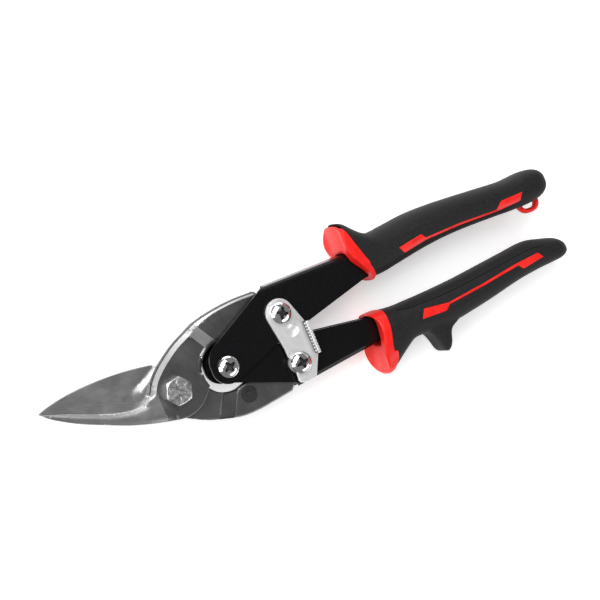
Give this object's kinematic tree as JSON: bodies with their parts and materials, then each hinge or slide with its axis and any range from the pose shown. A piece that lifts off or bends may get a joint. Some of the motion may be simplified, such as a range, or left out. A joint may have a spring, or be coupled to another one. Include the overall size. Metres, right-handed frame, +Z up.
{
  "type": "aviation snips",
  "caption": "Left-cut compound aviation snips, lying closed and latched, with lapped blades, channel handles, hand guards, overmoulded grips and a thumb latch.",
  "frame": {"origin": "axis of the main pivot bolt, on the plane the tool lies on", "axes": "+X from the main pivot towards the grips, +Y towards the upper handle, +Z up through the bolt head"},
  "size_m": [0.2542, 0.0723, 0.025],
  "materials": {
    "jaw_steel": "ground forged steel, dark, brushed along the blades",
    "coated_sheet": "gloss black coating on pressed steel",
    "zinc_steel": "bright zinc plate",
    "bolt_steel": "dull zinc plate, rough on top",
    "chrome_screw": "polished nickel plate",
    "spring_wire": "drawn spring wire",
    "black_rubber": "matt soft-touch overmould, fine grain",
    "red_plastic": "satin red moulding"
  },
  "bodies": {
    "lower_handle": {"lower_handle_channel": "coated_sheet", "lower_hand_guard": "red_plastic", "lower_grip_overmould": "black_rubber", "lower_grip_front_inlay": "red_plastic", "lower_grip_rear_inlay": "red_plastic", "handle_hinge_screw": "chrome_screw", "handle_hinge_nut": "zinc_steel", "handle_hinge_sleeve": "zinc_steel", "catch_screw": "chrome_screw", "catch_nut": "zinc_steel", "catch_collar": "zinc_steel", "torsion_spring": "spring_wire"},
    "upper_handle": {"upper_handle_channel": "coated_sheet", "upper_hand_guard": "red_plastic", "upper_grip_overmould": "black_rubber", "upper_grip_front_inlay": "red_plastic", "upper_grip_rear_inlay": "red_plastic", "hang_loop": "red_plastic", "latch_pivot_screw": "chrome_screw", "latch_pivot_washer": "zinc_steel", "latch_pivot_nut": "zinc_steel", "front_tail_spacer": "zinc_steel", "rear_tail_spacer": "zinc_steel"},
    "lower_jaw": {"lower_jaw": "jaw_steel", "pivot_bolt": "bolt_steel", "pivot_washer": "bolt_steel", "pivot_lock_nut": "bolt_steel"},
    "upper_jaw": {"upper_jaw": "jaw_steel"},
    "latch": {"latch": "zinc_steel"}
  },
  "joints": [
    {"name": "handle_open", "type": "hinge", "parent": "lower_handle", "child": "upper_handle", "pos_m": [0.0245, 0, 0.0125], "axis": [0, 0, 1], "range_deg": [0, 40], "deforming": ["torsion_spring"]},
    {"name": "lower_jaw_swing", "type": "hinge", "parent": "lower_handle", "child": "lower_jaw", "pos_m": [0.0545, -0.0115, 0.0125], "axis": [0, 0, 1], "range_deg": [0, 9.57]},
    {"name": "blade_open", "type": "hinge", "parent": "lower_jaw", "child": "upper_jaw", "pos_m": [0, 0, 0.0125], "axis": [0, 0, 1], "range_deg": [0, 20.89]},
    {"name": "latch_flip", "type": "hinge", "parent": "upper_handle", "child": "latch", "pos_m": [0.0545, 0.0115, 0.0125], "axis": [0, 0, 1], "range_deg": [0, 80]}
  ],
  "couplings": [
    {"joint": "lower_jaw_swing", "follows": "handle_open", "ratio": 0.239},
    {"joint": "blade_open", "follows": "handle_open", "ratio": 0.522},
    {"joint": "latch_flip", "follows": "handle_open", "ratio": 2}
  ]
}
